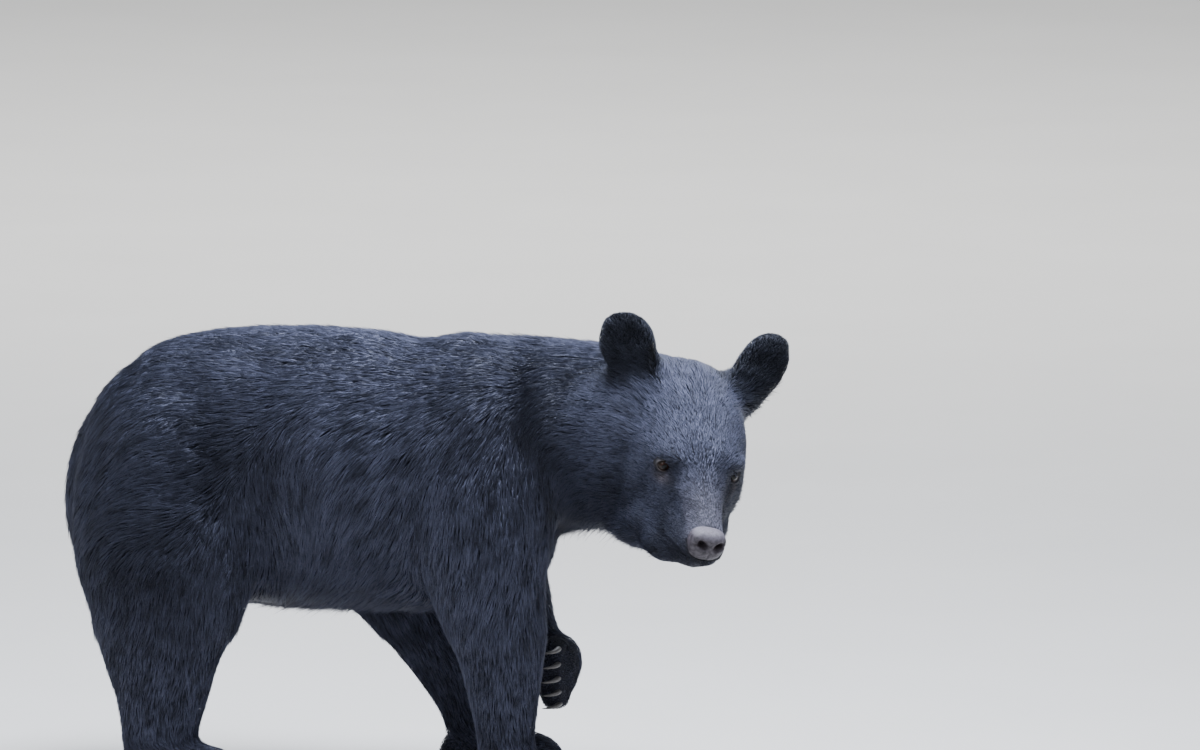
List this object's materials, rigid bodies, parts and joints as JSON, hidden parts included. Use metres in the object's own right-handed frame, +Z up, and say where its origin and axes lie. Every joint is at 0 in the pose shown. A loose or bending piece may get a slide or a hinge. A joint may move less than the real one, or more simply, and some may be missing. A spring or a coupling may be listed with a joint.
{
  "type": "black bear",
  "caption": "Life-size still model of a young Asian black bear in mid stride, with its head turned to its right and its left forepaw lifted.",
  "frame": {"origin": "middle of the bounding box in plan, on the level of the soles", "axes": "+X to the front along the trunk, +Y to the bear's left, +Z up"},
  "size_m": [0.9304, 0.381, 0.618],
  "materials": {
    "coat": "short soft black fur with a cool sheen",
    "nose_leather": "bare grey-brown skin, slightly moist",
    "eye": "wet brown eye",
    "claw_horn": "dark grey horn"
  },
  "bodies": {
    "root": {"trunk": "coat", "neck": "coat", "head": "coat", "lower_jaw": "coat", "ear_left": "coat", "ear_right": "coat", "tail": "coat", "upper_leg_fore_left": "coat", "lower_leg_fore_left": "coat", "paw_fore_left": "coat", "upper_leg_fore_right": "coat", "lower_leg_fore_right": "coat", "paw_fore_right": "coat", "upper_leg_hind_left": "coat", "lower_leg_hind_left": "coat", "paw_hind_left": "coat", "upper_leg_hind_right": "coat", "lower_leg_hind_right": "coat", "paw_hind_right": "coat", "nose": "nose_leather", "eye_left": "eye", "eye_right": "eye", "claw_fore_left_1": "claw_horn", "claw_fore_left_2": "claw_horn", "claw_fore_left_3": "claw_horn", "claw_fore_left_4": "claw_horn", "claw_fore_left_5": "claw_horn", "claw_fore_right_1": "claw_horn", "claw_fore_right_2": "claw_horn", "claw_fore_right_3": "claw_horn", "claw_fore_right_4": "claw_horn", "claw_fore_right_5": "claw_horn", "claw_hind_left_1": "claw_horn", "claw_hind_left_2": "claw_horn", "claw_hind_left_3": "claw_horn", "claw_hind_left_4": "claw_horn", "claw_hind_left_5": "claw_horn", "claw_hind_right_1": "claw_horn", "claw_hind_right_2": "claw_horn", "claw_hind_right_3": "claw_horn", "claw_hind_right_4": "claw_horn", "claw_hind_right_5": "claw_horn"}
  },
  "joints": []
}
